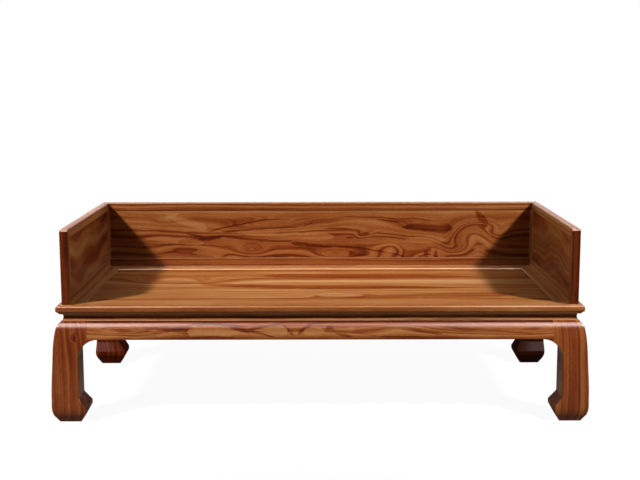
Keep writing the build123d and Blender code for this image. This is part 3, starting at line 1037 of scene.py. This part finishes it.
SEAT = SlantTracing(lie=Lie.LEVEL, at=0.447)
FAINT_SEAT = replace(SEAT, kept=0.78)
SEAT_FIGURE = Figure(
    ring_gap=0.11,
    tone=0.665,
    sway=0.045,
    sway_along=0.7,
    sway_across=2.2,
    ripple=0.010,
    ripple_along=2.0,
    ripple_across=9.0,
    band_rings=1.1,
    bands=0.42,
    clouds=0.10,
    fine_lines=0.34,
    lines=0.60,
    tilt=0.2,
    clear_tone=0.93,
    eyes=(
        SEAT.eye(175, 281, 0.20, 0.09, 1.6),
        SEAT.eye(345, 294.5, 0.20, 0.05, -0.8),
    ),
    streaks=(
        FAINT_SEAT.streak(262, 275.8, 480, 277.2, 2.0, 2.4, 0.0, 0.58, 0.12, 0.4),
        FAINT_SEAT.streak(198, 283.5, 300, 287, 1.6, 2.2, -0.6, 0.62, 0.12, 0.15),
        FAINT_SEAT.streak(290, 287, 480, 288, 2.0, 1.0, 0.0, 0.58, 0.1, 0.4),
        FAINT_SEAT.streak(350, 297.8, 520, 294, 1.2, 3.6, 0.6, 0.58, 0.12, 0.3),
        FAINT_SEAT.streak(355, 281.4, 402, 281.4, 0.5, 0.5, 0.0, 0.35, 0.3, 0.3),
        FAINT_SEAT.streak(316, 299.4, 364, 297.6, 0.5, 0.6, 0.0, 0.55, 0.3, 0.2),
        FAINT_SEAT.streak(150, 278.2, 206, 281.5, 0.5, 0.5, 1.0, 0.4, 0.4, 0.2),
        FAINT_SEAT.streak(160, 293.5, 300, 296, 0.4, 0.4, 0.5, 0.3, 0.3, 0.3),
    ),
    clears=(
        SEAT.streak(236, 280.6, 540, 283.6, 1.0, 1.8, 0.4, 0.55, 0.3, 0.3),
        SEAT.streak(160, 279, 198, 281, 1.6, 0.8, 0.8, 0.5, 0.4, 0.1),
        SEAT.streak(316, 295, 363, 295, 3.2, 1.0, 0.0, 0.55, 0.4, 0.15),
        SEAT.streak(168, 289, 330, 290.6, 1.2, 0.8, 0.0, 0.45, 0.4, 0.3),
        SEAT.streak(262, 272.8, 330, 273, 0.7, 0.7, 0.0, 0.4, 0.3, 0.3),
    ),
)


@dataclass
class Seat:
    """The boards of the seat and the battens under them."""

    joiner: Joiner
    boards: Wood = Wood("board_wood", figure=SEAT_FIGURE, polish=SATIN)
    tree: float = 1.0

    def build(self) -> None:
        """Dress the boards, all cut from one tree, and the battens."""
        for number in range(1, 6):
            self.joiner.dress(
                f"seat_board_{number}", self.boards, Run.LENGTH_FLAT, seed=self.tree, worn=0.0
            )
        for number in range(1, 5):
            self.joiner.dress(f"seat_batten_{number}", HIDDEN, Run.DEPTH_FLAT, seed=1.0, worn=0.0)


LEG_FIGURE = Figure(
    ring_gap=0.012,
    sway=0.008,
    sway_along=3.0,
    ripple=0.002,
    tilt=0.5,
    tone=0.40,
    bands=0.19,
    lines=0.6,
)
KNOT_FIGURE = replace(
    LEG_FIGURE,
    tone=0.31,
    eyes=(Eye(0.33, -0.929, 0.012, 0.010, 3.0), Eye(0.35, -0.945, 0.05, 0.012, 1.5)),
    streaks=(Streak(0.318, -0.929, 0.342, -0.929, 0.006, 0.006, 0.0, 0.45, 0.5, 0.5),),
)


APRON = SlantTracing(lie=Lie.UPRIGHT, at=-0.47)
APRON_FIGURE = Figure(
    ring_gap=0.015,
    tone=0.47,
    sway=0.010,
    sway_along=3.0,
    sway_across=8.0,
    ripple=0.003,
    band_rings=1.3,
    bands=0.40,
    tilt=0.2,
    clear_tone=0.70,
    swirls=(
        APRON.swirl(296, 331, 0.028, 70.0, 1.2),
        APRON.swirl(352, 330, 0.030, -60.0, 1.4),
    ),
    eyes=(
        APRON.eye(125, 331, 0.11, 0.015, 2.6, -2.0),
        APRON.eye(480, 330, 0.22, 0.017, 2.2, -2.0),
        APRON.eye(400, 328, 0.11, 0.015, -1.4),
        APRON.eye(535, 329, 0.09, 0.015, 1.8),
    ),
    streaks=(
        APRON.streak(150, 328, 196, 329.5, 1.0, 5.0, 0.0, 0.5, 0.2, 0.2),
        APRON.streak(190, 324.2, 246, 326, 0.8, 1.4, 0.6, 0.42, 0.1, 0.2),
        APRON.streak(228, 326, 250, 331.5, 2.0, 2.2, 0.0, 0.5, 0.2, 0.15),
        APRON.streak(247, 329, 282, 323.4, 1.6, 0.6, 0.0, 0.5, 0.15, 0.3),
        APRON.streak(248, 330.5, 276, 336.5, 1.3, 0.8, 0.0, 0.5, 0.15, 0.3),
        APRON.streak(281, 324.5, 293, 334, 2.6, 2.2, 0.0, 0.42, 0.3, 0.3),
        APRON.streak(297, 333, 311, 325.2, 2.8, 2.0, 0.8, 0.52, 0.25, 0.2),
        APRON.streak(309, 324.8, 326, 323, 0.9, 0.5, 0.6, 0.45, 0.1, 0.3),
        APRON.streak(325, 327.5, 333, 327, 2.2, 1.6, 0.0, 0.52, 0.35, 0.35),
        APRON.streak(98, 328, 182, 330, 0.5, 0.6, 2.2, 0.42, 0.15, 0.3),
        APRON.streak(113, 334.3, 160, 334.6, 0.5, 0.5, -0.5, 0.45, 0.3, 0.3),
        APRON.streak(134, 332, 156, 331.5, 0.5, 0.5, 0.4, 0.45, 0.3, 0.3),
        APRON.streak(184, 335.8, 236, 336.4, 0.6, 0.6, 0.0, 0.4, 0.2, 0.2),
        APRON.streak(334, 333, 352, 335.8, 1.3, 1.0, 0.0, 0.5, 0.25, 0.3),
        APRON.streak(350, 331.5, 378, 335.5, 0.5, 0.6, 0.0, 0.4, 0.3, 0.3),
        APRON.streak(358, 327, 394, 326.4, 0.7, 0.7, 0.0, 0.42, 0.3, 0.3),
        APRON.streak(398, 328.5, 442, 333.8, 0.5, 0.9, 0.0, 0.45, 0.3, 0.15),
        APRON.streak(378, 335.8, 424, 336, 0.9, 0.7, 0.0, 0.45, 0.3, 0.3),
        APRON.streak(438, 325.8, 478, 330, 1.2, 1.5, 0.0, 0.4, 0.3, 0.3),
        APRON.streak(462, 328, 548, 334.5, 0.5, 0.8, 0.0, 0.42, 0.3, 0.2),
    ),
    clears=(
        APRON.streak(187, 331.4, 241, 332, 4.0, 3.4, 0.0, 0.8, 0.06, 0.25),
        APRON.streak(252, 330, 287, 330, 0.5, 4.8, 0.0, 0.75, 0.4, 0.12),
        APRON.streak(303, 331.5, 324, 331, 4.2, 3.6, 0.0, 0.65, 0.15, 0.25),
        APRON.streak(333, 329.4, 356, 328.5, 0.8, 2.4, 0.0, 0.6, 0.3, 0.3),
        APRON.streak(100, 331, 118, 331, 2.2, 2.0, 0.0, 0.4, 0.3, 0.4),
        APRON.streak(446, 334.5, 500, 335.5, 1.2, 1.0, 0.0, 0.45, 0.2, 0.3),
    ),
)


@dataclass
class Base:
    """The waist, aprons and legs.

    Lengths are metres. An apron is painted darker by depth from bevel to bevel_end below its top, a
    painted shade on its top bevel, and a rear leg by foot_shade_left or foot_shade_right from ankle to hoof
    above the floor, a painted shade on its foot. The rear legs' woods are also painted darker, as shade.
    """

    joiner: Joiner
    waist: Wood = Wood("waist_wood", figure=Figure(ring_gap=0.010, sway=0.006, tone=0.52))
    apron: Wood = Wood("apron_wood", figure=APRON_FIGURE, polish=BURNISHED)
    plain_apron: Wood = Wood(
        "apron_wood",
        figure=Figure(ring_gap=0.018, sway=0.016, tone=0.52, bands=0.46),
        polish=BURNISHED,
    )
    leg: Wood = Wood("leg_wood", figure=LEG_FIGURE, polish=BURNISHED)
    knotty_leg: Wood = Wood("leg_wood", figure=KNOT_FIGURE, polish=BURNISHED)
    # Painted shade: the rear legs are a darker copy of the leg wood, the right one darkest.
    shaded_rear_leg: Wood = Wood("leg_wood", figure=replace(LEG_FIGURE, tone=0.34), polish=DRY)
    darkest_shaded_leg: Wood = replace(shaded_rear_leg, palette=Palette(dark=linear(40, 13, 4)))
    tree: float = 1.0
    bevel: float = 0.014
    bevel_end: float = 0.002
    depth: float = 0.34
    ankle: float = 0.34
    hoof: float = 0.14
    foot_shade_left: float = 0.26
    foot_shade_right: float = 0.42

    def build(self) -> None:
        """Dress the base."""
        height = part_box("front_apron")[1].z
        # Painted shade on the aprons' top bevels.
        top = (ShadeAndTone("Z", height - self.bevel, height - self.bevel_end, self.depth),)
        self.joiner.dress("front_waist", self.waist, Run.LENGTH)
        self.joiner.dress("rear_waist", self.waist, Run.LENGTH)
        self.joiner.dress("front_apron", self.apron, Run.LENGTH, seed=self.tree, shade_and_tone=top, worn=0.7)
        self.joiner.dress("rear_apron", self.plain_apron, Run.LENGTH, shade_and_tone=top, worn=0.7)
        for side in ("left", "right"):
            self.joiner.dress(f"{side}_waist", self.waist, Run.DEPTH)
            self.joiner.dress(f"{side}_apron", self.plain_apron, Run.DEPTH, shade_and_tone=top, worn=0.7)
        self.joiner.dress("front_left_leg", self.knotty_leg, Run.HEIGHT)
        self.joiner.dress("front_right_leg", self.leg, Run.HEIGHT)
        # Painted shade, darkening the rear feet.
        foot = (ShadeAndTone("Z", self.ankle, self.hoof, self.foot_shade_left),)
        self.joiner.dress("rear_left_leg", self.shaded_rear_leg, Run.HEIGHT, shade_and_tone=foot)
        foot = (ShadeAndTone("Z", self.ankle, self.hoof, self.foot_shade_right),)
        self.joiner.dress("rear_right_leg", self.darkest_shaded_leg, Run.HEIGHT, shade_and_tone=foot)
        self.joiner.dress("apron_keys", HIDDEN, Run.HEIGHT, seed=1.0, worn=0.0)


PANEL = SquareTracing(unit=(0.004513, 0.004223), middle=320.5, foot=268.9, height=0.447)
BACK_FIGURE = Figure(
    ring_gap=0.021,
    tone=0.545,
    sway=0.016,
    sway_along=2.8,
    sway_across=8.0,
    ripple=0.006,
    ripple_along=8.0,
    ripple_across=26.0,
    bands=0.44,
    band_rings=1.9,
    lines=0.9,
    fine_lines=0.26,
    tilt=0.2,
    clear_tone=0.74,
    swirls=(
        PANEL.swirl(277, 257, 0.040, 100.0, 1.2),
        PANEL.swirl(228, 249, 0.046, -120.0, 1.0),
        PANEL.swirl(434, 252, 0.050, 150.0, 0.9),
        PANEL.swirl(396, 240, 0.055, 120.0, 1.0),
        PANEL.swirl(462, 222, 0.070, -120.0, 1.2),
        PANEL.swirl(492, 213, 0.040, 110.0, 1.2),
        PANEL.swirl(432, 232, 0.040, -80.0, 1.6),
    ),
    eyes=(
        PANEL.eye(360, 257, 48, 7, 2.2, -3.0),
        PANEL.eye(335, 255, 17, 5, 2.2),
        PANEL.eye(262, 225, 52, 7, 2.6, 3.0),
        PANEL.eye(252, 251, 18, 6, 2.0),
        PANEL.eye(190, 249, 28, 4, -1.2),
        PANEL.eye(168, 218, 12, 4, 1.8, 10.0),
        PANEL.eye(365, 234, 9, 4, 1.8, 20.0),
        PANEL.eye(425, 228, 34, 9, 2.4),
    ),
    streaks=(
        PANEL.streak(178, 242, 224, 236.5, 3.0, 1.8, -0.5, 0.56, 0.1, 0.1),
        PANEL.streak(222, 236.5, 294, 241.5, 1.6, 1.3, -0.6, 0.52, 0.1, 0.1),
        PANEL.streak(291, 243.5, 333, 248, 2.2, 1.5, 0.0, 0.52, 0.15, 0.3),
        PANEL.streak(158, 229, 192, 233, 0.6, 1.2, 0.5, 0.42, 0.3, 0.1),
        PANEL.streak(184, 231, 206, 237.5, 1.2, 1.6, 0.0, 0.5, 0.2, 0.2),
        PANEL.streak(209, 231, 284, 218, 0.9, 0.8, 2.8, 0.5, 0.05, 0.3),
        PANEL.streak(210, 231, 246, 222.5, 0.7, 0.6, 1.0, 0.38, 0.1, 0.3),
        PANEL.streak(222, 231.5, 304, 225.5, 1.1, 0.7, 0.3, 0.5, 0.1, 0.2),
        PANEL.streak(303, 226, 313, 221, 0.8, 0.5, 0.0, 0.42, 0.2, 0.3),
        PANEL.streak(140, 243, 206, 244, 0.6, 0.6, -2.2, 0.38, 0.3, 0.2),
        PANEL.streak(158, 252.5, 216, 260, 0.7, 0.7, 1.0, 0.42, 0.3, 0.2),
        PANEL.streak(324, 228, 364, 231, 0.8, 0.8, 1.4, 0.4, 0.2, 0.2),
        PANEL.streak(358, 234.5, 370, 233.5, 3.2, 2.8, 0.0, 0.48, 0.3, 0.3),
        PANEL.streak(345, 238, 354, 238, 1.4, 1.2, 0.0, 0.42, 0.4, 0.4),
        PANEL.streak(320, 246.5, 412, 260, 0.9, 0.9, 3.4, 0.44, 0.1, 0.1),
        PANEL.streak(349, 255, 369, 257, 3.0, 1.2, 0.0, 0.38, 0.1, 0.5),
        PANEL.streak(402, 227, 453, 228, 3.2, 4.6, 0.6, 0.46, 0.2, 0.12),
        PANEL.streak(340, 215, 442, 219.5, 0.5, 0.6, 0.2, 0.36, 0.3, 0.2),
        PANEL.streak(377, 218.5, 402, 220.5, 0.9, 0.7, 0.0, 0.4, 0.4, 0.3),
        PANEL.streak(475, 210, 489, 224, 5.5, 5.0, 0.0, 0.4, 0.3, 0.3),
        PANEL.streak(424, 257, 429, 257, 6.0, 6.0, 0.0, 0.4, 0.3, 0.3),
        PANEL.streak(434.5, 257, 438.5, 258, 7.0, 7.0, 0.0, 0.44, 0.3, 0.3),
        PANEL.streak(272, 258.5, 294, 261, 0.8, 0.8, 1.5, 0.42, 0.3, 0.3),
        PANEL.streak(442, 261, 450, 264, 1.5, 1.0, 0.0, 0.42, 0.4, 0.4),
        PANEL.streak(322, 262, 414, 260, 0.7, 0.7, -1.4, 0.34, 0.2, 0.1),
    ),
    clears=(
        PANEL.streak(146, 238, 205, 243, 3.5, 4.5, 0.5, 0.6, 0.3, 0.2),
        PANEL.streak(150, 256, 236, 259, 2.0, 2.4, 0.0, 0.5, 0.3, 0.3),
        PANEL.streak(237, 232.5, 335, 237, 1.2, 5.0, -0.4, 0.55, 0.25, 0.12),
        PANEL.streak(322, 255, 350, 255, 3.2, 3.2, 0.0, 0.5, 0.2, 0.15),
        PANEL.streak(405, 240, 446, 240, 3.0, 5.0, 0.0, 0.5, 0.3, 0.2),
        PANEL.streak(431, 257, 434.8, 257, 10.0, 9.0, 0.0, 0.5, 0.3, 0.3),
        PANEL.streak(472, 249, 498, 247.5, 3.2, 3.2, 0.0, 0.6, 0.3, 0.2),
        PANEL.streak(166, 214, 208, 227, 3.0, 5.0, 0.0, 0.45, 0.4, 0.1),
        PANEL.streak(178, 253, 220, 258, 2.0, 3.5, 1.0, 0.35, 0.3, 0.3),
        PANEL.streak(280, 263.5, 300, 263.5, 3.0, 3.0, 0.0, 0.4, 0.1, 0.4),
    ),
)


@dataclass
class BackScreen:
    """The framed screen along the back.

    Lengths are metres. It is painted darker by depth from handled above its bottom rail down to that
    rail, a painted shade, and wax is half the breadth of the dark line under its top rail, a painted shadow.
    """

    joiner: Joiner
    frame: Wood = Wood("screen_frame_wood", figure=Figure(ring_gap=0.014, sway=0.010, tone=0.57))
    panel: Wood = Wood("panel_wood", figure=BACK_FIGURE)
    tree: float = 1.0
    seam_half: float = 0.0045
    shade_height: float = 0.132
    depth: float = 0.18

    def build(self) -> None:
        """Dress the back screen."""
        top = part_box("back_screen_top_rail")[0].z
        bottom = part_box("back_screen_bottom_rail")[1].z
        # Painted shade, darkening the screen down to its bottom rail.
        low = (ShadeAndTone("Z", bottom + self.shade_height, bottom, self.depth),)
        self.joiner.dress("back_screen_top_rail", self.frame, Run.LENGTH)
        self.joiner.dress("back_screen_bottom_rail", self.frame, Run.LENGTH, shade_and_tone=low)
        for name in ("left_stile", "right_stile"):
            self.joiner.dress(f"back_screen_{name}", self.frame, Run.HEIGHT)
        self.joiner.dress(
            "back_screen_panel",
            self.panel,
            Run.LENGTH,
            seed=self.tree,
            # The line under the top rail is a painted shadow; the fainter one at the bottom rail is a dark
            # joint.
            seams=(("Z", top, self.seam_half), ("Z", bottom, self.seam_half * 0.5)),
            shade_and_tone=low,
            worn=0.0,
        )
        self.joiner.dress("back_screen_battens", HIDDEN, Run.HEIGHT, seed=1.0, worn=0.0)
        self.joiner.dress("back_screen_stubs", HIDDEN, Run.HEIGHT, seed=1.0, worn=0.0)


SIDE_FIGURE = Figure(
    ring_gap=0.030,
    sway=0.10,
    sway_along=2.6,
    sway_across=3.0,
    ripple=0.010,
    ripple_along=9.0,
    ripple_across=16.0,
    tone=0.57,
    bands=0.58,
    band_rings=1.7,
    lines=0.8,
    clouds=0.25,
)


@dataclass
class SideScreen:
    """A framed screen at one end of the seat.

    Lengths are metres. It darkens by depth within roll of its front, and wax is half the breadth of
    its panel's dark joints.
    """

    joiner: Joiner
    side: str
    frame: Wood = Wood("screen_frame_wood", figure=Figure(ring_gap=0.014, sway=0.010, tone=0.62))
    panel: Wood = Wood("panel_wood", figure=SIDE_FIGURE)
    roll: float = 0.006
    depth: float = 0.52
    seam_half: float = 0.003

    def build(self) -> None:
        """Dress the side screen."""
        name = f"{self.side}_screen"
        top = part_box(f"{name}_top_rail")[0].z
        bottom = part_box(f"{name}_bottom_rail")[1].z
        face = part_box(f"{name}_front_stile")[0].y
        front = (ShadeAndTone("Y", face + self.roll, face, self.depth),)
        for rail in ("top_rail", "bottom_rail"):
            self.joiner.dress(f"{name}_{rail}", self.frame, Run.DEPTH, shade_and_tone=front)
        for stile in ("front_stile", "rear_stile"):
            self.joiner.dress(f"{name}_{stile}", self.frame, Run.HEIGHT_SIDE, shade_and_tone=front)
        self.joiner.dress(
            f"{name}_panel",
            self.panel,
            Run.DEPTH,
            seams=(("Z", top, self.seam_half), ("Z", bottom, self.seam_half)),
            worn=0.0,
        )
        self.joiner.dress(f"{name}_stubs", HIDDEN, Run.HEIGHT_SIDE, seed=1.0, worn=0.0)
        self.joiner.dress(f"{name}_slide_keys", HIDDEN, Run.HEIGHT_SIDE, seed=1.0, worn=0.0)


@dataclass(frozen=True)
class Lamp:
    """A spot lamp. Lengths are metres and angles are degrees."""

    name: str
    way: Point
    through: Point
    distance: float
    aim: Point
    cone: float
    blend: float
    watts: float
    radius: float
    glints: bool = True

    def hang(self) -> None:
        """Hang the lamp up the way from the point that its light passes through, and aim it."""
        data = bpy.data.lights.new(self.name, "SPOT")
        data.energy = self.watts
        data.shadow_soft_size = self.radius
        data.spot_size = math.radians(self.cone)
        data.spot_blend = self.blend
        lamp = bpy.data.objects.new(self.name, data)
        lamp.location = Vector(self.through) - Vector(self.way).normalized() * self.distance
        facing = Vector(self.aim) - lamp.location
        lamp.rotation_euler = facing.to_track_quat("-Z", "Y").to_euler()
        lamp.visible_glossy = self.glints
        bpy.context.scene.collection.objects.link(lamp)
        LOG.info("hung %s", self.name)

    def mirrored(self, name: str) -> "Lamp":
        """Make the lamp's twin for the other side of the bed.

        Args:
            name: the twin's name.

        Returns:
            The twin.
        """

        def flip(point: Point) -> Point:
            """Return a point or way mirrored across the middle."""
            return (-point[0], point[1], point[2])

        return replace(
            self, name=name, way=flip(self.way), through=flip(self.through), aim=flip(self.aim)
        )


LEFT_LAMP = Lamp(
    name="left_lamp",
    way=(0.580, 0.530, -0.631),
    through=(-0.52, -0.05, 0.40),
    distance=6.0,
    aim=(-2.0, -0.465, 0.40),
    cone=45.4,
    blend=0.68,
    watts=1950.0,
    radius=0.27,
)
REAR_LAMP = Lamp(
    name="rear_left_lamp",
    way=(0.35, -0.94, -0.22),
    through=(0.0, 0.45, 0.40),
    distance=5.0,
    aim=(0.0, 0.45, 0.40),
    cone=40.0,
    blend=0.6,
    watts=520.0,
    radius=0.5,
    glints=False,
)


@dataclass
class Studio:
    """The floor, the lamps and the light all round.

    The strip is a low bright strip behind the bed and the box a soft box overhead. Only reflections
    show them. Their edges are ranges of the world's directions, each fading in from the first number
    to the second. The light all round falls from even_low at the horizon by even_drop overhead, and
    reflections lose even_kept of it.
    """

    floor_half: float = 14.0
    floor_shade: float = 0.06
    floor_bounce: Colour = (0.19, 0.155, 0.125)
    glow_near: float = 1.7
    glow_far: float = 2.6
    ambient: float = 0.102
    warmth: Colour = (1.0, 0.82, 0.66)
    sheen: float = 1.8
    strip_bottom: Range = (0.03, 0.07)
    strip_top: Range = (0.18, 0.15)
    strip_side: Range = (0.27, 0.22)
    strip_back: Range = (0.2, 0.8)
    box_middle: float = 0.1
    box_ends: float = 13.0
    box_edge: Range = (0.35, 0.80)
    box_back: Range = (0.35, 0.05)
    box_side: Range = (0.02, 0.2)
    even_low: float = 1.35
    even_drop: float = 1.1
    even_kept: float = 0.8
    lamps: tuple[Lamp, ...] = (
        LEFT_LAMP,
        LEFT_LAMP.mirrored("right_lamp"),
        REAR_LAMP,
        REAR_LAMP.mirrored("rear_right_lamp"),
    )

    def build(self) -> None:
        """Set up the studio."""
        self.lay_floor()
        self.light_world()
        for lamp in self.lamps:
            lamp.hang()

    def lay_floor(self) -> None:
        """Lay a plain pale floor, white all round the bed's shadow."""
        half = self.floor_half
        mesh = bpy.data.meshes.new("floor")
        mesh.from_pydata(
            [(-half, -half, 0), (half, -half, 0), (half, half, 0), (-half, half, 0)], [], [(0, 1, 2, 3)]
        )
        floor = bpy.data.objects.new("floor", mesh)
        bpy.context.scene.collection.objects.link(floor)
        material = bpy.data.materials.new("floor_paper")
        material.use_nodes = True
        material.node_tree.nodes.clear()
        bench = Bench(material.node_tree)
        place = bench.wire(bench.node("ShaderNodeTexCoord"), "Object")
        reach = bench.wire(
            bench.node("ShaderNodeVectorMath", {"operation": "LENGTH"}, {0: place}), "Value"
        )
        glow = 1.0 - self.floor_shade * (1.0 - bench.smooth(reach, self.glow_near, self.glow_far))
        shade = self.floor_shade
        lit = bench.node("ShaderNodeBsdfDiffuse", inputs={"Color": (shade, shade, shade)})
        white = bench.node("ShaderNodeEmission", inputs={"Color": WHITE, "Strength": glow})
        shown = bench.node("ShaderNodeAddShader", inputs={0: lit.outputs[0], 1: white.outputs[0]})
        bounce = bench.node("ShaderNodeBsdfDiffuse", inputs={"Color": self.floor_bounce})
        seen = bench.wire(bench.node("ShaderNodeLightPath"), "Is Camera Ray")
        whole = bench.node(
            "ShaderNodeMixShader", inputs={0: seen, 1: bounce.outputs[0], 2: shown.outputs[0]}
        )
        bench.node("ShaderNodeOutputMaterial", inputs={"Surface": whole.outputs[0]})
        mesh.materials.append(material)
        LOG.info("laid the floor")

    def light_world(self) -> None:
        """Give the world its even light and its white look."""
        world = bpy.data.worlds.new("studio")
        world.use_nodes = True
        world.node_tree.nodes.clear()
        bench = Bench(world.node_tree)
        path = bench.node("ShaderNodeLightPath")
        seen = bench.wire(path, "Is Camera Ray")
        bounced = bench.sum("MINIMUM", bench.wire(path, "Diffuse Depth"), 1.0)
        gloss = bench.wire(path, "Is Glossy Ray") * (1.0 - bounced)
        way = bench.wire(bench.node("ShaderNodeTexCoord"), "Generated")
        split = bench.node("ShaderNodeSeparateXYZ", inputs={0: way})
        sideways = bench.sum("ABSOLUTE", bench.wire(split, "X"))
        height = bench.wire(split, "Z")
        rearward = bench.wire(split, "Y")
        strip = bench.smooth(height, *self.strip_bottom) * bench.smooth(height, *self.strip_top)
        strip = strip * bench.smooth(sideways, *self.strip_side)
        strip = bench.smooth(rearward, *self.strip_back) * strip
        overhead = bench.smooth(height, *self.box_edge) * bench.smooth(rearward, *self.box_back)
        box = overhead * (self.box_middle + bench.smooth(sideways, *self.box_side) * self.box_ends)
        shine = strip * self.sheen + box
        even = self.ambient * (self.even_low - self.even_drop * bench.smooth(height, 0.0, 0.9))
        strength = even + seen * (1.0 - even) + gloss * (shine - even * self.even_kept)
        colour = bench.tint(bench.sum("MAXIMUM", seen, gloss), self.warmth, WHITE)
        back = bench.node("ShaderNodeBackground", inputs={"Color": colour, "Strength": strength})
        bench.node("ShaderNodeOutputWorld", inputs={"Surface": back.outputs[0]})
        bpy.context.scene.world = world
        LOG.info("lit the world")


@dataclass
class Viewpoint:
    """The camera."""

    place: Point = CAMERA
    pitch: float = PITCH
    roll: float = -0.103
    focal: float = FOCAL / VIEW_WIDTH
    film: float = 36.0

    def build(self) -> None:
        """Set the camera up."""
        data = bpy.data.cameras.new("camera")
        data.sensor_width = self.film
        data.lens = self.focal * self.film
        camera = bpy.data.objects.new("camera", data)
        turn = Matrix.Rotation(math.radians(90.0 - self.pitch), 4, "X")
        lean = Matrix.Rotation(math.radians(self.roll), 4, "Z")
        camera.matrix_world = Matrix.Translation(self.place) @ turn @ lean
        bpy.context.scene.collection.objects.link(camera)
        bpy.context.scene.camera = camera
        LOG.info("placed the camera")


def set_colours() -> None:
    """Show colours as they are, with no film look."""
    bpy.context.scene.view_settings.view_transform = "Standard"


def main() -> None:
    """Dress the bed, light it and place the camera."""
    logging.basicConfig(level=logging.INFO)
    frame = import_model()
    joiner = Joiner(frame["nodes"])
    SeatFrame(joiner).build()
    Seat(joiner).build()
    Base(joiner).build()
    BackScreen(joiner).build()
    for side in ("left", "right"):
        SideScreen(joiner, side).build()
    Studio().build()
    Viewpoint().build()
    set_colours()


if __name__ == "__main__":
    main()
